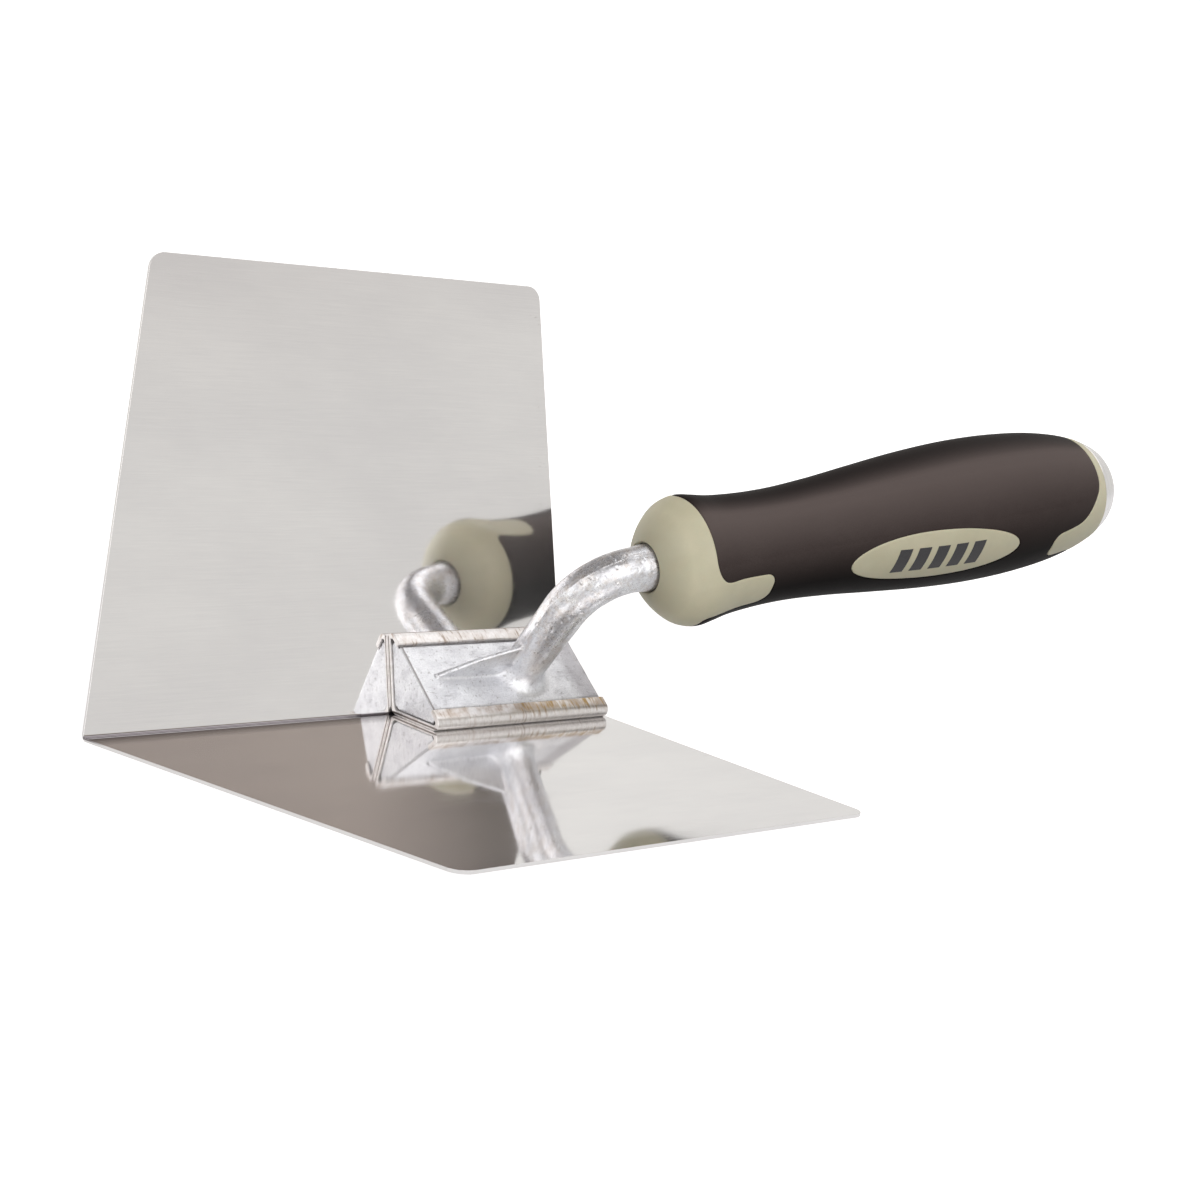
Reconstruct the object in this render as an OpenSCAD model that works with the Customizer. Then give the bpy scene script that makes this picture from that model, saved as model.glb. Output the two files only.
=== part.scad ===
// Inside corner trowel: one folded blade, a channel that clasps a cast shank, and a two-part grip.
// Row frame: origin at the middle of the lower wing's outer face, +X towards the handle along the
// fold, +Y towards the fold, +Z up. Each wing's outer face is a working face.

/* [Blade] */
// Length of the blade along its fold
blade_l = 127; // [115:0.5:150]
// Width of each wing, from the sharp line of the fold to the outer edge
wing_w = 101.6; // [70:0.1:125]
// Angle between the two wings before they flex
fold_angle = 103.5; // [101:0.5:105]
// Thickness of the blade sheet
blade_t = 0.75; // [0.6:0.05:1]
// Inside radius of the fold
fold_r = 0.8; // [0.6:0.1:1.6]
// How far a wing's outer front corner lies behind the tip
front_rake = 20.7; // [10:0.1:30]
// How far a wing's outer rear corner lies ahead of the heel
heel_rake = 1.1; // [0:0.1:5]
// Radius of a wing's two outer corners
corner_r = 3.2; // [1:0.1:6]

/* [Mounting channel] */
// Thickness of the channel sheet
channel_t = 1.2; // [1:0.1:1.5]
// Front end of the channel, behind the blade's tip
channel_x = 76; // [70:0.5:80]
// Length of the channel
channel_l = 50; // [46:0.5:50]
// Where each rolled hem leaves its wing, along the wing from the fold
hem_s = 16.4; // [15:0.1:17.5]
// Inside radius of a rolled hem
hem_r = 0.6; // [0.4:0.1:0.8]
// Half the gap between the two lips
lip_y = 9.4; // [9:0.1:10]
// Inside radius of the channel's own bend
channel_bend_r = 1.8; // [1.5:0.1:2.2]

/* [Spot welds] */
// Diameter of a weld nugget
weld_d = 4.5; // [3:0.1:5]
// Distance of the nuggets from the fold, along the wing
weld_s = 10; // [8:0.1:12]
// Spacing of the nuggets along the channel
weld_pitch = 16; // [12:0.5:18]

/* [Shank casting] */
// Thickness of the gusset in front of the shank
gusset_t = 1.3; // [1:0.1:2]
// Where the upright part of the shank stands, behind the blade's tip
shank_x = 106.2; // [104:0.1:108]
// Radius of the upright part at its foot
shank_r = 4.75; // [4.5:0.05:4.9]
// Radius of the bend
bend_shank_r = 5.15; // [4.95:0.05:5.2]
// Radius of the fillet where the shank meets the wedge
foot_fillet_r = 3.4; // [2.5:0.1:3.8]
// Height at which the bend starts, above the fold
bend_z = 34.6; // [30:0.1:38]
// Radius of the bend's centreline
bend_r = 14; // [12:0.1:16]
// Tilt of the handle above the fold line
handle_tilt = 11.7; // [8:0.1:14]
// Length of the tang inside the handle
tang_l = 72; // [60:1:80]
// Radius of the tang
tang_r = 4.6; // [4:0.1:4.8]

/* [Handle] */
// Thickness of the soft grip over the hard core
grip_t = 2.2; // [1.5:0.1:2.6]
// Joint between the core's rear face and the end cap, from the end of the bend
cap_u = 138.8; // [138.4:0.1:139.4]
// Front edge of the grip
grip_front_u = 13.8; // [13:0.1:14.5]
// Rear edge of the grip
grip_rear_u = 136.1; // [135.5:0.1:136.5]
// Length of the oval boss on each side
oval_l = 51.2; // [40:0.1:54]
// Height of the oval boss, seen from the side
oval_h = 12.6; // [10:0.1:14]
// Radius of the hollow in the rear of the core
hollow_r = 9; // [7:0.1:10]

/* [Hidden] */
$fn = 72;
// Part of a circle between two angles, as a list of points
function arc(c, r, from, to, n) =
    [for (i = [0:n]) let (a = from + (to - from) * i / n) c + r * [cos(a), sin(a)]];
function unit(v) = v / norm(v);
function mirrored(points) = [for (i = [len(points) - 1:-1:0]) [-points[i].x, points[i].y]];
function turn(a) = a > 180 ? a - 360 : a < -180 ? a + 360 : a;
function rounded_corner(a, p, b, r, n) =
    let (
        da = unit(a - p),
        db = unit(b - p),
        half = acos(da * db) / 2,
        c = p + unit(da + db) * r / sin(half),
        ta = p + da * r / tan(half) - c,
        tb = p + db * r / tan(half) - c,
        start = atan2(ta.y, ta.x)
    )
    arc(c, r, start, start + turn(atan2(tb.y, tb.x) - start), n);
// An outline whose corners [x, y, radius] are rounded off
function rounded(corners, n = 6) = [
    for (i = [0:len(corners) - 1])
        let (
            last = len(corners),
            a = corners[(i + last - 1) % last],
            p = corners[i],
            b = corners[(i + 1) % last]
        )
        each p[2] == 0
            ? [[p.x, p.y]]
            : rounded_corner([a.x, a.y], [p.x, p.y], [b.x, b.y], p[2], n)
];
// A smooth curve through a list of points: cubic pieces with shared slopes
function slope(p, i) =
    i == 0 ? (p[1] - p[0]) / norm(p[1] - p[0])
    : i == len(p) - 1 ? (p[i] - p[i - 1]) / norm(p[i] - p[i - 1])
    : let (before = norm(p[i] - p[i - 1]), after = norm(p[i + 1] - p[i]))
        ((p[i] - p[i - 1]) / before * after + (p[i + 1] - p[i]) / after * before) / (before + after);
function between(a, b, sa, sb, t) =
    let (h = norm(b - a))
    (2 * pow(t, 3) - 3 * pow(t, 2) + 1) * a + (pow(t, 3) - 2 * pow(t, 2) + t) * h * sa
    + (3 * pow(t, 2) - 2 * pow(t, 3)) * b + (pow(t, 3) - pow(t, 2)) * h * sb;
function curve(p, n) = [
    for (i = [0:len(p) - 2])
        for (j = [0:n - 1])
            between(p[i], p[i + 1], slope(p, i), slope(p, i + 1), j / n),
    p[len(p) - 1]
];

// Section frame at the fold: +Y across, +Z on the bisector of the wings, origin at the inner corner
half_fold = fold_angle / 2;
along_leg = [sin(half_fold), cos(half_fold)];
into_fold = [-cos(half_fold), sin(half_fold)];
hem_c = along_leg * hem_s + into_fold * (channel_t + hem_r);
lip_under_z = hem_c.y + hem_r;
lip_top_z = lip_under_z + channel_t;
// The lips stand this far above the flat top of the casting's wedge
lip_proud = 0.45;
cast_top_z = lip_top_z - lip_proud;
// Top edge of the gusset, [distance ahead of the shank's axis, height above the wedge]
gusset_top = [[24.2, 0.5], [15.4, 5.2], [4, 9.6]];
// Gap at each end between the wedge and the end of the channel
wedge_gap = 0.4;

// Handle frame: +X along the handle from the end of the shank's bend, +Z on its upper side
handle_at = [
    shank_x + bend_r * (1 - sin(handle_tilt)),
    0,
    bend_z + bend_r * cos(handle_tilt)
];
cap_joint_r = 13.8;
// Outline of the handle, [distance along it, radius]: collar, waist, swell and rear taper
handle_stations = [
    [3.9, 6.2], [5.4, 8.4], [7.2, 10.7], [9.3, 12.8], [11.8, 14.6], [14.8, 15.4], [18, 15],
    [22, 14.3], [29, 13.7], [39, 13.5], [53, 14.3], [67, 15.7], [83, 17.2], [99, 18],
    [113, 17.8], [127, 16.5], [135, 14.9], [cap_u, cap_joint_r]
];
cap_stations = [[cap_u, cap_joint_r], [144.2, 11.2], [147.8, 7.6], [150.1, 3.6], [150.9, 0]];
handle_outline = curve(handle_stations, 2);
cap_outline = curve(cap_stations, 4);
// How far cutting bodies reach past the outside, and past the ends of the grip
outside_margin = 2;
layer_margin = 3;
side_reach = 50;
side_clear = 30;
// Seen from the side: front edge with the collar's tab, rear edge with the rear band's tongue
grip_side = rounded([
    [grip_front_u, side_clear, 0],
    [grip_front_u, 7.2, 5],
    [32, 5.7, 2.6],
    [31.4, -2.7, 3.6],
    [grip_front_u, -2.5, 2],
    [grip_front_u, -side_clear, 0],
    [grip_rear_u, -side_clear, 0],
    [grip_rear_u, -8.5, 4],
    [128, -3.6, 6],
    [119, -2.8, 3],
    [119, 4.9, 2.6],
    [129.5, 6, 8],
    [grip_rear_u, 12, 4],
    [grip_rear_u, side_clear, 0]
]);
// Middle of the oval boss, on the -Y side and on the +Y side
oval_near = [79.7, 4.9];
oval_far = [79.7, 2.4];
oval_lean = 1.2;
// Ring grooves in the tang
groove_us = [30, 45, 60];
groove_l = 4;
groove_depth = 1;
// The shank is at its full radius from where it enters the collar to the tang's shoulder
collar_u = 4;
collar_r = 5.5;
tang_shoulder_u = 8;
tang_chamfer = 1;
// The straight parts of the shank run this far into its bend, and are this much slimmer there
joint_lap = 1;
joint_step = 0.15;
// The bent part of the blade runs this many degrees into each wing, and is this much thinner
fold_lap = 5;
fold_step = 0.01;
fold_end_step = 0.05;
hollow_u = 86;
spigot_l = 11;
spigot_wall = 2;
dome_depth = 5;

// From the fold's section frame to the row frame
module at_fold() {
    translate([-blade_l / 2, wing_w / 2, 0])
        rotate([90 - half_fold, 0, 0])
            translate([0, 0, blade_t / sin(half_fold)])
                children();
}

// From the handle frame to the row frame
module at_handle() {
    at_fold()
        translate(handle_at)
            rotate([0, -handle_tilt, 0])
                children();
}

// A section in Y and Z, carried along X
module along_x(length) {
    rotate([90, 0, 90])
        linear_extrude(length)
            children();
}

// A round body about X, from points [distance, radius]
module turned(points) {
    rotate([0, 90, 0])
        rotate_extrude()
            polygon([for (p = points) [p.y, p.x]]);
}

// A side view carried through the whole width
module through_side(points) {
    rotate([90, 0, 0])
        translate([0, 0, -side_reach])
            linear_extrude(2 * side_reach)
                polygon(points);
}

// One wing, flat on Z = 0 and reaching towards -Y, from the end of the bend outwards
module wing(from_s) {
    outline = [
        [front_rake * from_s / wing_w, -from_s, 0],
        [front_rake, -wing_w, corner_r],
        [blade_l - heel_rake, -wing_w, corner_r],
        [blade_l - heel_rake * from_s / wing_w, -from_s, 0]
    ];
    linear_extrude(blade_t)
        polygon(rounded(outline, 10));
}

module blade_sheet() {
    outside_r = fold_r + blade_t;
    bend_s = outside_r / tan(half_fold);
    bend_front = front_rake * bend_s / wing_w;
    bend_l = blade_l - heel_rake * bend_s / wing_w - bend_front;
    wing(bend_s);
    mirror([0, sin(half_fold), cos(half_fold)])
        wing(bend_s);
    translate([bend_front + fold_end_step, -bend_s, outside_r])
        rotate([90, 0, 90])
            rotate(-90 - fold_lap)
                rotate_extrude(angle = 180 - fold_angle + 2 * fold_lap)
                    translate([fold_r + fold_step, 0])
                        square([blade_t - 2 * fold_step, bend_l - 2 * fold_end_step]);
}

module weld_nuggets() {
    in_blade = 0.35;
    in_channel = 0.5;
    for (side = [-1, 1])
        for (i = [-1:1])
            translate([channel_x + channel_l / 2 + i * weld_pitch, 0, 0])
                rotate([side * -half_fold, 0, 0])
                    translate([0, 0, weld_s])
                        rotate([side * 90, 0, 0])
                            translate([0, 0, -in_blade])
                                cylinder(d = weld_d, h = in_blade + in_channel);
}

module blade() {
    color([0.80, 0.80, 0.81])
        difference() {
            translate([-blade_l / 2, wing_w / 2, 0])
                blade_sheet();
            at_fold()
                weld_nuggets();
        }
}

module mounting_channel() {
    outside_r = channel_bend_r + channel_t;
    bend_c = [0, outside_r / sin(half_fold)];
    outside = concat(
        arc(bend_c, outside_r, -90, -half_fold, 6),
        arc(hem_c, hem_r + channel_t, -half_fold, 90, 14),
        [[lip_y, lip_top_z]]
    );
    inside = concat(
        [[lip_y, lip_under_z]],
        arc(hem_c, hem_r, 90, -half_fold, 14),
        arc(bend_c, channel_bend_r, -half_fold, -90, 6)
    );
    right = concat(outside, inside);
    color([0.72, 0.70, 0.68])
        at_fold()
            difference() {
                translate([channel_x, 0, 0])
                    along_x(channel_l)
                        union() {
                            polygon(right);
                            polygon(mirrored(right));
                        }
                weld_nuggets();
            }
}

module spot_welds() {
    color([0.55, 0.55, 0.57])
        at_fold()
            weld_nuggets();
}

// The casting's wedge in section: its apex, its acute edges in the hems, and rebates for the lips
module wedge_section() {
    apex_r = 2.2;
    edge_short = 0.8;
    hem_clear = 0.3;
    lip_clear = 0.25;
    apex_c = [0, (apex_r + channel_t) / sin(half_fold)];
    edge = along_leg * (hem_s - edge_short) + into_fold * channel_t;
    right = concat(
        arc(apex_c, apex_r, -90, -half_fold, 5),
        [
            edge,
            [hem_c.x - hem_clear, lip_under_z],
            [lip_y - lip_clear, lip_under_z],
            [lip_y - lip_clear, cast_top_z],
            [0, cast_top_z]
        ]
    );
    union() {
        polygon(right);
        polygon(mirrored(right));
    }
}

// The upright shank with its flared foot
module upright() {
    foot_z = cast_top_z - joint_lap;
    flare = arc(
        [shank_r + foot_fillet_r, cast_top_z + foot_fillet_r],
        foot_fillet_r, -90, -180, 8
    );
    translate([shank_x, 0, 0])
        rotate_extrude()
            polygon(concat(
                [[0, foot_z], [shank_r + foot_fillet_r, foot_z]],
                flare,
                [[bend_shank_r - joint_step, bend_z + joint_lap], [0, bend_z + joint_lap]]
            ));
}

module shank_bend() {
    translate([shank_x + bend_r, 0, bend_z])
        rotate([90, 0, 0])
            rotate(90 + handle_tilt)
                rotate_extrude(angle = 90 - handle_tilt)
                    translate([bend_r, 0])
                        circle(bend_shank_r);
}

// The straight end of the shank and the grooved tang, in the handle frame
module tang() {
    grooves = [
        for (u = groove_us)
            each [
                [u, tang_r],
                [u, tang_r - groove_depth],
                [u + groove_l, tang_r - groove_depth],
                [u + groove_l, tang_r]
            ]
    ];
    turned(concat(
        [
            [-joint_lap, 0],
            [-joint_lap, bend_shank_r - joint_step],
            [collar_u, collar_r],
            [tang_shoulder_u, collar_r],
            [tang_shoulder_u, tang_r]
        ],
        grooves,
        [[tang_l - tang_chamfer, tang_r], [tang_l, tang_r - tang_chamfer], [tang_l, 0]]
    ));
}

module gusset() {
    toe = gusset_top[0];
    heel = gusset_top[len(gusset_top) - 1];
    foot_z = cast_top_z - joint_lap;
    rotate([90, 0, 0])
        translate([0, 0, -gusset_t / 2])
            linear_extrude(gusset_t)
                polygon(concat(
                    [[shank_x, foot_z], [shank_x - toe.x, foot_z]],
                    [for (p = gusset_top) [shank_x - p.x, cast_top_z + p.y]],
                    [[shank_x, cast_top_z + heel.y]]
                ));
}

module shank_casting() {
    color([0.78, 0.78, 0.80])
        at_fold() {
            translate([channel_x + wedge_gap, 0, 0])
                along_x(channel_l - 2 * wedge_gap)
                    wedge_section();
            gusset();
            upright();
            shank_bend();
            translate(handle_at)
                rotate([0, -handle_tilt, 0])
                    tang();
        }
}

module oval_window(side, centre) {
    half_l = oval_l / 2;
    half_h = oval_h / 2;
    steps = 36;
    rotate([90, 0, 0])
        translate([0, 0, side < 0 ? 0 : -side_reach])
            linear_extrude(side_reach)
                polygon([
                    for (i = [0:steps - 1])
                        let (a = 360 * i / steps, x = half_l * cos(a), y = half_h * sin(a))
                        centre + [
                            x * cos(oval_lean) - y * sin(oval_lean),
                            x * sin(oval_lean) + y * cos(oval_lean)
                        ]
                ]);
}

// The layer of the handle that the soft grip takes up; extra lets a cut reach past the outside
module grip_layer(extra) {
    grip_mid_u = (grip_front_u + grip_rear_u) / 2;
    grip_half_l = (grip_rear_u - grip_front_u) / 2 + layer_margin;
    covered = [for (p = handle_outline) if (abs(p.x - grip_mid_u) < grip_half_l) p];
    outer = [for (p = covered) p + [0, extra]];
    inner = [for (i = [len(covered) - 1:-1:0]) covered[i] - [0, grip_t]];
    difference() {
        intersection() {
            turned(concat(outer, inner));
            through_side(grip_side);
        }
        oval_window(-1, oval_near);
        oval_window(1, oval_far);
    }
}

module handle_core() {
    color([0.75, 0.73, 0.61])
        at_handle()
            difference() {
                turned(concat([[handle_stations[0].x, 0]], handle_outline, [[cap_u, 0]]));
                grip_layer(outside_margin);
                tang();
                turned([
                    [hollow_u, 0],
                    [hollow_u, hollow_r],
                    [cap_u + outside_margin, hollow_r],
                    [cap_u + outside_margin, 0]
                ]);
            }
}

module grip_overmould() {
    color([0.21, 0.18, 0.17])
        at_handle()
            grip_layer(0);
}

module end_cap() {
    spigot_u = cap_u - spigot_l;
    dome_back_u = cap_u + dome_depth;
    color([0.86, 0.86, 0.87])
        at_handle()
            turned(concat(
                cap_outline,
                [
                    [dome_back_u, 0],
                    [dome_back_u, hollow_r - spigot_wall],
                    [spigot_u, hollow_r - spigot_wall],
                    [spigot_u, hollow_r],
                    [cap_u, hollow_r]
                ]
            ));
}

blade();
mounting_channel();
spot_welds();
shank_casting();
handle_core();
grip_overmould();
end_cap();
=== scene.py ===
import math

import bmesh
import bpy
import numpy as np
from mathutils import Matrix, Vector, noise

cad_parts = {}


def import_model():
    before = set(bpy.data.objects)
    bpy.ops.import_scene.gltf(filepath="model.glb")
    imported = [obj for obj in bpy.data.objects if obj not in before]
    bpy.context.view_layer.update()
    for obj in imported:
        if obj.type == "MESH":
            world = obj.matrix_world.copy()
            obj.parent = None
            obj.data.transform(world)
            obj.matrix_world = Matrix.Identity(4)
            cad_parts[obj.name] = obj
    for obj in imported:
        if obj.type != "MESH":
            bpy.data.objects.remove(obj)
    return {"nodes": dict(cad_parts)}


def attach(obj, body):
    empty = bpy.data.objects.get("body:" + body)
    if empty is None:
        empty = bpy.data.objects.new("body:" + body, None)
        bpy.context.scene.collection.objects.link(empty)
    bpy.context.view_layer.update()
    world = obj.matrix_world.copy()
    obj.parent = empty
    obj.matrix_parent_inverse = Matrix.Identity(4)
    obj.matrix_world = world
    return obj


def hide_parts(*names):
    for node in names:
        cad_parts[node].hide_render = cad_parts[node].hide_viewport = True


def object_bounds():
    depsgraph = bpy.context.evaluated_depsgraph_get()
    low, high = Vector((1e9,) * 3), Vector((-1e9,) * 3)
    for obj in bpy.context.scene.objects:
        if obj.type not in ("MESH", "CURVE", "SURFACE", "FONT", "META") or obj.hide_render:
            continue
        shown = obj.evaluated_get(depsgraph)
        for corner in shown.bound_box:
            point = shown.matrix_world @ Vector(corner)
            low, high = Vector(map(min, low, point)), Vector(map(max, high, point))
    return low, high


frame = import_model()
CAD_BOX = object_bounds()

# Sizes are in millimetres and angles in degrees, with the same names and values as the CAD source.
MM = 0.001

BLADE_L = 127.0
WING_W = 101.6
FOLD_ANGLE = 103.5
BLADE_T = 0.75
FOLD_R = 0.8
FRONT_RAKE = 20.7
HEEL_RAKE = 1.1
CORNER_R = 3.2
BLADE_EDGE_R = 0.14

CHANNEL_T = 1.2
CHANNEL_X = 76.0
CHANNEL_L = 50.0
HEM_S = 16.4
HEM_R = 0.6
LIP_Y = 9.4
CHANNEL_BEND_R = 1.8
CHANNEL_EDGE_R = 0.16
WELD_S = 10.0
WELD_PITCH = 16.0
WELD_D = 4.5

WEDGE_APEX_R = 2.2
WEDGE_EDGE_SHORT = 0.8
HEM_CLEAR = 0.3
LIP_CLEAR = 0.25
LIP_PROUD = 0.45
WEDGE_GAP = 0.4
WEDGE_GAP_SIDE = 0.12
GUSSET_TOP = [(24.2, 0.5), (15.4, 5.2), (4.0, 9.6)]
SHANK_X = 106.2
SHANK_R = 4.75
BEND_SHANK_R = 5.15
FOOT_FILLET_R = 3.4
BEND_Z = 34.6
BEND_R = 14.0
HANDLE_TILT = 11.7
SHANK_END_U = 8.8
COLLAR_U = 4.0
COLLAR_R = 5.5

GRIP_T = 2.2
CAP_U = 138.8
CAP_JOINT_R = 13.8
GRIP_FRONT_U = 13.8
GRIP_REAR_U = 136.1
OVAL_L = 51.2
OVAL_H = 12.6
OVAL_AT = {-1: (79.7, 4.9), 1: (79.7, 2.4)}
OVAL_LEAN = 1.2
HANDLE_STATIONS = [
    (3.9, 6.2), (5.4, 8.4), (7.2, 10.7), (9.3, 12.8), (11.8, 14.6), (14.8, 15.4), (18, 15),
    (22, 14.3), (29, 13.7), (39, 13.5), (53, 14.3), (67, 15.7), (83, 17.2), (99, 18),
    (113, 17.8), (127, 16.5), (135, 14.9), (CAP_U, CAP_JOINT_R),
]
CAP_STATIONS = [(CAP_U, CAP_JOINT_R), (144.2, 11.2), (147.8, 7.6), (150.1, 3.6), (150.9, 0)]
SIDE_CLEAR = 30.0
GRIP_SIDE = [
    (GRIP_FRONT_U, SIDE_CLEAR, 0),
    (GRIP_FRONT_U, 7.2, 5),
    (32, 5.7, 2.6),
    (31.4, -2.7, 3.6),
    (GRIP_FRONT_U, -2.5, 2),
    (GRIP_FRONT_U, -SIDE_CLEAR, 0),
    (GRIP_REAR_U, -SIDE_CLEAR, 0),
    (GRIP_REAR_U, -8.5, 4),
    (128, -3.6, 6),
    (119, -2.8, 3),
    (119, 4.9, 2.6),
    (129.5, 6, 8),
    (GRIP_REAR_U, 12, 4),
    (GRIP_REAR_U, SIDE_CLEAR, 0),
]

HALF_FOLD = math.radians(FOLD_ANGLE / 2)
TILT = math.radians(HANDLE_TILT)
ALONG_LEG = np.array([math.sin(HALF_FOLD), math.cos(HALF_FOLD)])
INTO_FOLD = np.array([-math.cos(HALF_FOLD), math.sin(HALF_FOLD)])
HEM_C = ALONG_LEG * HEM_S + INTO_FOLD * (CHANNEL_T + HEM_R)
LIP_UNDER_Z = HEM_C[1] + HEM_R
LIP_TOP_Z = LIP_UNDER_Z + CHANNEL_T
CAST_TOP_Z = LIP_TOP_Z - LIP_PROUD
HANDLE_AT = (SHANK_X + BEND_R * (1 - math.sin(TILT)), 0.0, BEND_Z + BEND_R * math.cos(TILT))

# The fold's section frame (+X from tip to heel, +Y across, +Z on the bisector of the wings) and
# the handle's frame (+X along the handle, +Z on its upper side), both in millimetres
AT_FOLD = (
    Matrix.Translation((-BLADE_L / 2, WING_W / 2, 0))
    @ Matrix.Rotation(math.pi / 2 - HALF_FOLD, 4, "X")
    @ Matrix.Translation((0, 0, BLADE_T / math.sin(HALF_FOLD)))
)
AT_HANDLE = AT_FOLD @ Matrix.Translation(HANDLE_AT) @ Matrix.Rotation(-TILT, 4, "Y")


# ---------------------------------------------------------------- outlines

def arc(centre, radius, start, end, count):
    """Points on part of a circle, angles in degrees."""
    angles = np.radians(np.linspace(start, end, count + 1))
    return np.column_stack([
        centre[0] + radius * np.cos(angles),
        centre[1] + radius * np.sin(angles),
    ])


def rounded(corners, count=12):
    """An outline whose corners (x, y, radius) are rounded off."""
    points = []
    for i, (x, y, radius) in enumerate(corners):
        if radius == 0:
            points.append((x, y))
            continue
        corner = Vector((x, y))
        to_before = (Vector(corners[i - 1][:2]) - corner).normalized()
        to_after = (Vector(corners[(i + 1) % len(corners)][:2]) - corner).normalized()
        half = to_before.angle(to_after) / 2
        centre = corner + (to_before + to_after).normalized() * radius / math.sin(half)
        first = corner + to_before * radius / math.tan(half) - centre
        last = corner + to_after * radius / math.tan(half) - centre
        start = math.degrees(math.atan2(first.y, first.x))
        turn = math.degrees(math.atan2(last.y, last.x)) - start
        turn = (turn + 180) % 360 - 180
        points.extend(map(tuple, arc(centre, radius, start, start + turn, count)))
    return np.array(points)


def smooth_curve(stations, count):
    """Cubic pieces with shared slopes through the stations, count points to a piece."""
    p = np.array(stations, float)
    gaps = np.linalg.norm(np.diff(p, axis=0), axis=1)
    steps = np.diff(p, axis=0)
    slopes = np.empty_like(p)
    slopes[0] = steps[0] / gaps[0]
    slopes[-1] = steps[-1] / gaps[-1]
    before, after = gaps[:-1, None], gaps[1:, None]
    slopes[1:-1] = (steps[:-1] / before * after + steps[1:] / after * before) / (before + after)
    t = np.arange(count)[:, None] / count
    pieces = [
        (2 * t**3 - 3 * t**2 + 1) * p[i] + (t**3 - 2 * t**2 + t) * gaps[i] * slopes[i]
        + (3 * t**2 - 2 * t**3) * p[i + 1] + (t**3 - t**2) * gaps[i] * slopes[i + 1]
        for i in range(len(p) - 1)
    ]
    return np.vstack(pieces + [p[-1:]])


def outline_distance(x, y, corners):
    """Signed distance from points to a closed outline, negative inside it."""
    best = np.full(np.broadcast(x, y).shape, np.inf)
    inside = np.zeros(best.shape, bool)
    for (ax, ay), (bx, by) in zip(corners, np.roll(corners, -1, axis=0)):
        ex, ey = bx - ax, by - ay
        t = np.clip(((x - ax) * ex + (y - ay) * ey) / (ex * ex + ey * ey + 1e-12), 0, 1)
        best = np.minimum(best, np.hypot(x - ax - t * ex, y - ay - t * ey))
        if abs(ey) > 1e-9:
            inside ^= ((ay > y) != (by > y)) & (x < ax + ex * (y - ay) / ey)
    return np.where(inside, -best, best)


# ---------------------------------------------------------------- meshes

def piece(name, points, faces, place, material, smooth=True):
    """A mesh piece from points in a local frame in millimetres, put in the row frame."""
    points = np.asarray(points, float)
    matrix = np.array(place)
    points = (points @ matrix[:3, :3].T + matrix[:3, 3]) * MM
    mesh = bpy.data.meshes.new(name)
    mesh.from_pydata(points.tolist(), [], [list(map(int, f)) for f in faces])
    mesh.validate()
    mesh.update()
    mesh.materials.append(material)
    mesh.shade_smooth() if smooth else mesh.shade_flat()
    obj = bpy.data.objects.new(name, mesh)
    bpy.context.scene.collection.objects.link(obj)
    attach(obj, "root")
    return obj


def sharp_edges(obj, angle):
    """Keeps the shading sharp over edges steeper than an angle."""
    obj.data.set_sharp_from_angle(angle=math.radians(angle))


def bevel(obj, width, segments=2, angle=40):
    modifier = obj.modifiers.new("edges", "BEVEL")
    modifier.width = width * MM
    modifier.segments = segments
    modifier.limit_method = "ANGLE"
    modifier.angle_limit = math.radians(angle)
    modifier.harden_normals = True
    return modifier


def ring_faces(rings, around):
    """Quads between rings of points, each ring closed on itself."""
    i, j = np.meshgrid(np.arange(rings - 1), np.arange(around), indexing="ij")
    k = (j + 1) % around
    return np.stack([i * around + j, i * around + k, (i + 1) * around + k, (i + 1) * around + j],
                    axis=-1).reshape(-1, 4)


def turned(profile, around):
    """Points and faces of a round body about X, from (distance, radius) with both ends on the axis."""
    angles = np.linspace(0, 2 * math.pi, around, endpoint=False)
    body = np.array(profile[1:-1], float)
    points = np.stack([
        np.repeat(body[:, :1], around, axis=1),
        body[:, 1:] * np.cos(angles),
        body[:, 1:] * np.sin(angles),
    ], axis=-1).reshape(-1, 3)
    points = np.vstack([points, [[profile[0][0], 0, 0]], [[profile[-1][0], 0, 0]]])
    faces = ring_faces(len(body), around).tolist()
    first, last, top = len(points) - 2, len(points) - 1, (len(body) - 1) * around
    for j in range(around):
        k = (j + 1) % around
        faces.append([first, k, j])
        faces.append([last, top + j, top + k])
    return points, faces


# ---------------------------------------------------------------- materials

def add_node(tree, kind, inputs, output=0, **settings):
    """Adds a node, its inputs set to values or linked to sockets, and returns one of its outputs."""
    made = tree.nodes.new(kind)
    for key, value in settings.items():
        setattr(made, key, value)
    for key, value in inputs.items():
        if isinstance(value, bpy.types.NodeSocket):
            tree.links.new(value, made.inputs[key])
        else:
            made.inputs[key].default_value = value
    return made.outputs[output]


def combined(tree, operation, *values):
    return add_node(tree, "ShaderNodeMath", dict(enumerate(values)), operation=operation)


def ranged(tree, value, start, end, low=0.0, high=1.0):
    """value carried from start..end to low..high, and held at the ends."""
    return add_node(tree, "ShaderNodeMapRange", {
        "Value": value, "From Min": start, "From Max": end, "To Min": low, "To Max": high,
    })


def mixed(tree, factor, a, b):
    """A colour between two colours, each a socket or (red, green, blue)."""
    a, b = (c if isinstance(c, bpy.types.NodeSocket) else (*c, 1) for c in (a, b))
    return add_node(tree, "ShaderNodeMix", {0: factor, 6: a, 7: b}, 2, data_type="RGBA")


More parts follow.
